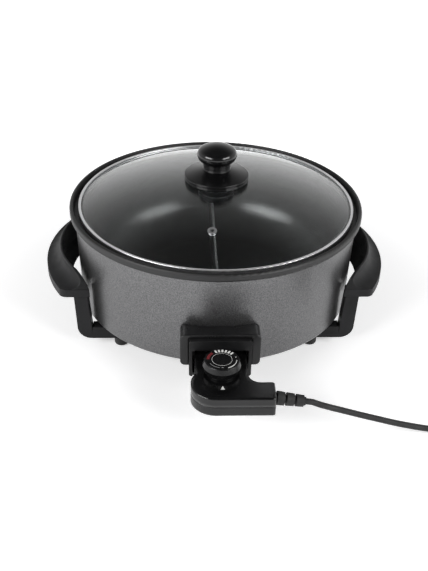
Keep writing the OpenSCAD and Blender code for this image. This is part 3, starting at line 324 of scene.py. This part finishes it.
def pan_finish():
    """Hammered grey paint outside, satin black rim, black non-stick inside, with a painted highlight along
    the divider's crest.
    """
    material, tree, shader, place = start_finish("pan_casting")
    split = tree.nodes.new("ShaderNodeSeparateXYZ")
    link(tree, place, "Object", split, "Vector")
    depth_y = value_math(tree, "SUBTRACT", (split, "Y"), AXIS_Y)
    square = value_math(tree, "ADD", value_math(tree, "MULTIPLY", (split, "X"), (split, "X")),
                        value_math(tree, "MULTIPLY", depth_y, depth_y))
    radius = value_math(tree, "SQRT", square, 0.0)
    lean = value_math(tree, "MULTIPLY", value_math(tree, "SUBTRACT", (split, "Z"), STAND_Z), WALL_LEAN)
    middle = value_math(tree, "ADD", lean, WALL_MID_LOW)
    outside = value_math(tree, "GREATER_THAN", radius, middle)
    below_rim = value_math(tree, "LESS_THAN", (split, "Z"), RIM_Z)
    painted = value_math(tree, "MULTIPLY", outside, below_rim)
    rim = value_math(tree, "GREATER_THAN", (split, "Z"), RIM_Z)

    speckle = noise(tree, place, PAINT_SPECKLE, 2.0)
    paint = tint(tree, speckle, (0.10, 0.10, 0.102), (0.20, 0.20, 0.203))
    coat = tint(tree, noise(tree, place, 60.0), (0.010, 0.010, 0.010), (0.018, 0.018, 0.018))
    black = tint(tree, noise(tree, place, 30.0), (0.004, 0.004, 0.0042), (0.007, 0.007, 0.0073))
    inner = mix_colours(tree, rim, coat.outputs["Color"], black.outputs["Color"])
    # A lighter grey strip painted along the divider's crest is a painted highlight.
    beside = value_math(tree, "LESS_THAN", value_math(tree, "ABSOLUTE", (split, "X"), 0.0), DIVIDER_HALF)
    above = value_math(tree, "GREATER_THAN", (split, "Z"), DIVIDER_CREST)
    highlight_strip = value_math(tree, "MULTIPLY", beside, above)
    wear_and_highlight = tint(tree, noise(tree, place, 90.0), (0.055, 0.055, 0.055), (0.085, 0.085, 0.085))
    highlight_strip = value_math(tree, "MULTIPLY", highlight_strip, value_math(tree, "SUBTRACT", 1.0, rim))
    inner = mix_colours(tree, highlight_strip, inner, wear_and_highlight.outputs["Color"])
    colour = mix_colours(tree, painted, inner, paint.outputs["Color"])
    tree.links.new(colour, shader.inputs["Base Color"])

    inner_shine = mix_values(tree, rim, COAT_SHINE, RIM_SHINE)
    shine = mix_values(tree, painted, inner_shine, PAINT_SHINE)
    tree.links.new(shine[0].outputs[0], shader.inputs["Roughness"])
    metal = mix_values(tree, painted, 0.0, PAINT_METAL)
    tree.links.new(metal[0].outputs[0], shader.inputs["Metallic"])
    hammer = tree.nodes.new("ShaderNodeTexVoronoi")
    hammer.feature = "SMOOTH_F1"
    hammer.inputs["Scale"].default_value = HAMMER_SCALE
    link(tree, place, "Object", hammer, "Vector")
    depth = mix_values(tree, painted, COAT_STRENGTH, HAMMER_STRENGTH)
    bump = tree.nodes.new("ShaderNodeBump")
    bump.inputs["Distance"].default_value = HAMMER_DEPTH
    tree.links.new(depth[0].outputs[0], bump.inputs["Strength"])
    link(tree, hammer, "Distance", bump, "Height")
    link(tree, bump, "Normal", shader, "Normal")
    return material


wear(pan_finish(), "pan")
print("pan finished")

# %% [markdown]
# ## Plastic, rubber and steel
# The handles are satin black, the guard and the control are glossy black, and the feet, the lead and
# the plug are dull rubber. Screws and pins are drawn steel. Each finish is a call of the same helper.

# %% Plastics and rubber
satin_black = finish("satin_black", (0.010, 0.010, 0.0105), (0.015, 0.015, 0.016), (0.44, 0.54),
                     specular=0.18, grain_scale=1400.0, grain_depth=0.00006, grain_strength=0.5, edge=0.0015)
wear(satin_black, "handle_left", "handle_right")
gloss_black = finish("gloss_black", (0.003, 0.003, 0.0032), (0.005, 0.005, 0.0053), (0.12, 0.18),
                     specular=0.45, grain_scale=260.0, grain_depth=0.00003, grain_strength=0.12, edge=0.0055)
wear(gloss_black, "control_upper")
knob_black = finish("knob_black", (0.003, 0.003, 0.0032), (0.005, 0.005, 0.0053), (0.12, 0.18),
                    specular=0.4, grain_scale=260.0, grain_depth=0.00002, grain_strength=0.1, edge=0.0004)
wear(knob_black, "lid_knob", "knob_disc")
dial_black = finish("dial_black", (0.004, 0.004, 0.0042), (0.007, 0.007, 0.0074), (0.22, 0.28),
                    specular=0.32, grain_scale=900.0, grain_depth=0.00003, grain_strength=0.2, edge=0.0006)
wear(dial_black, "dial", "dial_cap")
shell_black = finish("shell_black", (0.007, 0.007, 0.0073), (0.011, 0.011, 0.0115), (0.26, 0.34),
                     specular=0.35, grain_scale=700.0, grain_depth=0.00004, grain_strength=0.25, edge=0.0030)
wear(shell_black, "control_lower", "guard_hood")
guard_black = finish("guard_black", (0.006, 0.006, 0.0063), (0.010, 0.010, 0.0105), (0.34, 0.42),
                     specular=0.3, grain_scale=900.0, grain_depth=0.00004, grain_strength=0.3, edge=0.0014)
wear(guard_black, "guard_sleeve", "knob_seat")
rubber = finish("rubber", (0.012, 0.012, 0.012), (0.024, 0.024, 0.024), (0.55, 0.72),
                specular=0.35, grain_scale=1600.0, grain_depth=0.00008, grain_strength=0.6, edge=0.0006)
wear(rubber, "rubber_feet", "strain_relief", "plug_body", "knob_gasket", "cord_tie")
mains_lead.data.materials.append(rubber)
print("plastics and rubber finished")

# %% Metals and inner parts
drawn_steel = finish("drawn_steel", (0.52, 0.52, 0.53), (0.66, 0.66, 0.67), (0.22, 0.36), metal=1.0,
                     grain_scale=2200.0, grain_depth=0.00002)
wear(drawn_steel, "element_clips", "terminal_pins", "probe_socket", "sleeve_screws", "hood_screws",
     "handle_screws", "knob_screw", "control_screws", "probe", "plug_pins", "dial_spindle", "spindle_clip")
polished_steel = finish("polished_steel", (0.80, 0.80, 0.81), (0.88, 0.88, 0.89), (0.30, 0.38), metal=1.0,
                        grain_scale=600.0, grain_depth=0.00002, grain_strength=0.2)
wear(polished_steel, "lid_band", "vent_eyelet")
heat_steel = finish("heat_steel", (0.16, 0.15, 0.14), (0.24, 0.22, 0.2), (0.4, 0.55), metal=1.0)
wear(heat_steel, "heating_element")
brass = finish("brass", (0.6, 0.42, 0.16), (0.7, 0.5, 0.2), (0.25, 0.4), metal=1.0)
wear(brass, "knob_insert", "contact_sleeves", "contact_blades")
ceramic = finish("ceramic", (0.7, 0.67, 0.58), (0.8, 0.77, 0.68), (0.5, 0.65))
wear(ceramic, "pin_insulators", "contact_carrier", "switch_block", "adjusting_pin")
wire_sleeve = finish("wire_sleeve", (0.12, 0.05, 0.02), (0.18, 0.08, 0.03), (0.45, 0.6))
wear(wire_sleeve, "lead_wires")
print("metals finished")

# %% [markdown]
# ## The glass
# The lid is a dome of clear toughened glass. A full glass shader would cast a black shadow into the pan,
# because light is not traced through glass sharply enough in a few samples. So shadow rays pass straight
# through, and only the rays that are seen are bent and reflected.

# %% Glass finish
def glass_finish():
    """Clear glass that lets light through to the pan."""
    material, tree, shader, place = start_finish("clear_glass")
    shader.inputs["Base Color"].default_value = (0.93, 0.95, 0.95, 1.0)
    shader.inputs["Transmission Weight"].default_value = 1.0
    shader.inputs["IOR"].default_value = 1.46
    smear = noise(tree, place, 14.0)
    link(tree, between(tree, smear, 0.0, 0.02), "Result", shader, "Roughness")
    clear = tree.nodes.new("ShaderNodeBsdfTransparent")
    clear.inputs["Color"].default_value = (0.9, 0.92, 0.92, 1.0)
    rays = tree.nodes.new("ShaderNodeLightPath")
    mixer = tree.nodes.new("ShaderNodeMixShader")
    link(tree, rays, "Is Shadow Ray", mixer, "Fac")
    tree.links.new(shader.outputs["BSDF"], mixer.inputs[1])
    tree.links.new(clear.outputs["BSDF"], mixer.inputs[2])
    link(tree, mixer, "Shader", tree.nodes["Material Output"], "Surface")
    return material


wear(glass_finish(), "lid_glass")
print("glass finished")

# %% Smooth shading
for piece in nodes.values():
    piece.data.shade_smooth()
print("smooth:", len(nodes), "nodes")

# %% [markdown]
# ## Marks on the dial and the control
# The dial's scale is printed in white with one red stretch, and a small white arrow on the control points
# at it. Prints are thin films, so each mark is a flat shape a few hundredths of a millimetre thick, laid
# on the plate it belongs to.

# %% Print shapes
DIAL_FRONT = 0.230
DIAL_C = Vector((0.0, AXIS_Y - DIAL_FRONT, 0.0))
cap_low, cap_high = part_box("dial_cap")
PRINT_T = 0.00006
INK_WORN = 0.85


def print_ink(name, colour):
    """Ink of a printed mark."""
    wear_and_highlight = tuple(INK_WORN * c for c in colour)
    return finish(name, wear_and_highlight, colour, (0.4, 0.5), grain_scale=3000.0, grain_depth=0.00001)


def arc_band(radius, width, start, end, z, steps=64):
    """Two edges of a flat band along a circle, inner and outer, as points at height z."""
    angles = [math.radians(start + (end - start) * i / steps) for i in range(steps + 1)]
    return [[DIAL_C + Vector((r * math.cos(a), r * math.sin(a), z)) for a in angles]
            for r in (radius - width / 2, radius + width / 2)]


def printed(name, bands, ink, body):
    """Flat marks with a little thickness, on one mesh. Each mark is a strip between two edges."""
    mesh = bmesh.new()
    for inner, outer in bands:
        loops = [[mesh.verts.new(p + Vector((0, 0, lift))) for p in edge]
                 for lift in (0, PRINT_T) for edge in (inner, outer)]
        low_in, low_out, high_in, high_out = loops
        for i in range(len(inner) - 1):
            for a, b in ((high_in, high_out), (high_out, low_out), (low_out, low_in), (low_in, high_in)):
                mesh.faces.new((a[i], b[i], b[i + 1], a[i + 1]))
        for end in (0, -1):
            mesh.faces.new([loop[end] for loop in (low_in, low_out, high_out, high_in)])
    bmesh.ops.recalc_face_normals(mesh, faces=mesh.faces)
    data = bpy.data.meshes.new(name)
    mesh.to_mesh(data)
    mesh.free()
    data.materials.append(ink)
    piece = bpy.data.objects.new(name, data)
    scene.collection.objects.link(piece)
    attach(piece, body)
    return piece


white_ink = print_ink("white_ink", (0.78, 0.78, 0.76))
grey_ink = print_ink("grey_ink", (0.30, 0.30, 0.30))
red_ink = print_ink("red_ink", (0.15, 0.016, 0.020))
top_z = cap_high[2]
print("inks:", white_ink.name, grey_ink.name, red_ink.name)

# %% Scale of the dial
def tick(angle, inner, outer, width, z):
    """A straight mark that points at the middle of the dial."""
    a = math.radians(angle)
    along = Vector((math.cos(a), math.sin(a), 0))
    across = Vector((-along.y, along.x, 0)) * width / 2
    base = DIAL_C + Vector((0, 0, z))
    return [[base + along * inner + side, base + along * outer + side] for side in (-across, across)]


def half_rings(radius, width, z):
    """A closed ring as two halves."""
    return [arc_band(radius, width, 0, 180, z), arc_band(radius, width, 180, 360, z)]


TICKS = 6
TICK_FIRST = 44
TICK_STEP = 14
TICK_IN = 0.0134
TICK_OUT = 0.0180
TICK_W = 0.0022
ticks = [tick(TICK_FIRST + TICK_STEP * i, TICK_IN, TICK_OUT, TICK_W, top_z) for i in range(TICKS)]
printed("dial_ring", half_rings(0.0112, 0.0003, top_z), white_ink, "dial")
printed("dial_ticks", ticks + [tick(15, 0.0154, 0.0168, 0.0010, top_z)], white_ink, "dial")
ARC_R = 0.0164
arcs = [arc_band(ARC_R, 0.0012, -68, -36, top_z), arc_band(ARC_R, 0.0007, -36, -4, top_z)]
printed("dial_arc", arcs, white_ink, "dial")
printed("dial_low_arc", [arc_band(0.0152, 0.0005, 208, 258, top_z)], grey_ink, "dial")
printed("dial_hot", [arc_band(0.0156, 0.0032, 131, 178, top_z)], red_ink, "dial")
dot = printed("dial_dot", [arc_band(0.0006, 0.0011, 0, 180, top_z, 12)], grey_ink, "dial")
dot.location = (0, -0.015, 0)
print("dial marks:", len(ticks) + 8)

# %% Arrow on the control
shell_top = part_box("control_upper")[1][2]
ARROW_FRONT = 0.2555
ARROW_TIP = Vector((0.0, AXIS_Y - ARROW_FRONT, shell_top))
ARROW_W = 0.0046
ARROW_H = 0.0060
ARROW_POINT = 0.0003
arrow = [[ARROW_TIP + Vector((side * ARROW_POINT / 2, 0, 0)),
          ARROW_TIP + Vector((side * ARROW_W / 2, -ARROW_H, 0))] for side in (-1, 1)]
printed("control_arrow", [arrow], white_ink, "control")
print("arrow drawn")

# %% [markdown]
# ## The table and the light
# The pan stands on a white table in soft light from the front left and the front right. The floor is nearly
# white. For what is seen it also glows, less near the pan than far from it, so the background turns white
# and the shadow stays, without more light on the pan.

# %% Floor
GLOW_NEAR = 0.37
GLOW_FAR = 0.80
GLOW_REACH = (0.25, 0.62)


def soft_range(tree, source, output, span, ends):
    """Turns a value that runs over a span into one that runs softly between two ends."""
    node = tree.nodes.new("ShaderNodeMapRange")
    node.interpolation_type = "SMOOTHSTEP"
    node.inputs["From Min"].default_value, node.inputs["From Max"].default_value = span
    node.inputs["To Min"].default_value, node.inputs["To Max"].default_value = ends
    link(tree, source, output, node, "Value")
    return (node, "Result")


def floor_finish():
    """White floor that keeps a soft shadow."""
    material, tree, shader, place = start_finish("white_floor")
    white = tint(tree, noise(tree, place, 3.0), (0.93, 0.93, 0.935), (0.95, 0.95, 0.955))
    link(tree, white, "Color", shader, "Base Color")
    shader.inputs["Roughness"].default_value = 0.9
    shader.inputs["Specular IOR Level"].default_value = 0.1
    glow = tree.nodes.new("ShaderNodeEmission")
    rays = tree.nodes.new("ShaderNodeLightPath")
    seen = value_math(tree, "MAXIMUM", (rays, "Is Camera Ray"), (rays, "Is Glossy Ray"))
    seen = value_math(tree, "MAXIMUM", seen, (rays, "Is Transmission Ray"))
    reach = tree.nodes.new("ShaderNodeVectorMath")
    reach.operation = "LENGTH"
    link(tree, tree.nodes.new("ShaderNodeNewGeometry"), "Position", reach, "Vector")
    level = soft_range(tree, reach, "Value", GLOW_REACH, (GLOW_NEAR, GLOW_FAR))
    share = value_math(tree, "MULTIPLY", seen, level)
    tree.links.new(share[0].outputs[0], glow.inputs["Strength"])
    both = tree.nodes.new("ShaderNodeAddShader")
    tree.links.new(shader.outputs["BSDF"], both.inputs[0])
    tree.links.new(glow.outputs["Emission"], both.inputs[1])
    link(tree, both, "Shader", tree.nodes["Material Output"], "Surface")
    return material


FLOOR_HALF = 5.0
floor_mesh = bpy.data.meshes.new("floor")
floor_corners = [(x * FLOOR_HALF, y * FLOOR_HALF, 0) for x, y in ((-1, -1), (1, -1), (1, 1), (-1, 1))]
floor_mesh.from_pydata(floor_corners, [], [(0, 1, 2, 3)])
floor_mesh.materials.append(floor_finish())
floor = bpy.data.objects.new("floor", floor_mesh)
scene.collection.objects.link(floor)
print("floor laid")

# %% World
SKY_HIGH = 0.08
SKY_LOW = 0.95
SKY_RISE = (0.10, 0.95)
FRONT_SPAN = (-0.75, 0.15)
FRONT_LEVEL = 0.18
world = bpy.data.worlds.new("studio")
world.use_nodes = True
scene.world = world
sky = world.node_tree
rays = sky.nodes.new("ShaderNodeLightPath")
way = sky.nodes.new("ShaderNodeTexCoord")
split = sky.nodes.new("ShaderNodeSeparateXYZ")
link(sky, way, "Generated", split, "Vector")
fade = soft_range(sky, split, "Z", SKY_RISE, (SKY_LOW, SKY_HIGH))
front = soft_range(sky, split, "Y", FRONT_SPAN, (FRONT_LEVEL, 1.0))
level = mix_values(sky, (rays, "Is Camera Ray"), value_math(sky, "MULTIPLY", fade, front), 1.0)
sky.nodes["Background"].inputs["Color"].default_value = (1.0, 1.0, 1.0, 1.0)
sky.links.new(level[0].outputs[0], sky.nodes["Background"].inputs["Strength"])
print("sky from", SKY_LOW, "to", SKY_HIGH)

# %% Lamps
def softbox(name, place, aim, size, power):
    """A rectangular lamp that looks at a point."""
    data = bpy.data.lights.new(name, "AREA")
    data.shape = "RECTANGLE"
    data.size, data.size_y = size
    data.energy = power
    lamp = bpy.data.objects.new(name, data)
    lamp.location = place
    lamp.rotation_euler = (Vector(aim) - Vector(place)).to_track_quat("-Z", "Y").to_euler()
    scene.collection.objects.link(lamp)
    return lamp


LAMP_SIDE = 1.25
LAMP_FRONT = -0.90
LAMP_UP = 0.85
LAMP_AIM = (0, 0, 0.1)
LAMP_SIZE = (1.2, 0.5)
softbox("left", (-LAMP_SIDE, LAMP_FRONT, LAMP_UP), LAMP_AIM, LAMP_SIZE, 23.0)
softbox("right", (LAMP_SIDE, LAMP_FRONT, LAMP_UP), LAMP_AIM, LAMP_SIZE, 21.0)
scene.view_settings.view_transform = "Standard"
print("lamps set")

# %% [markdown]
# ## Last step: the view layer is brought up to date.

# %% Finish
bpy.context.view_layer.update()
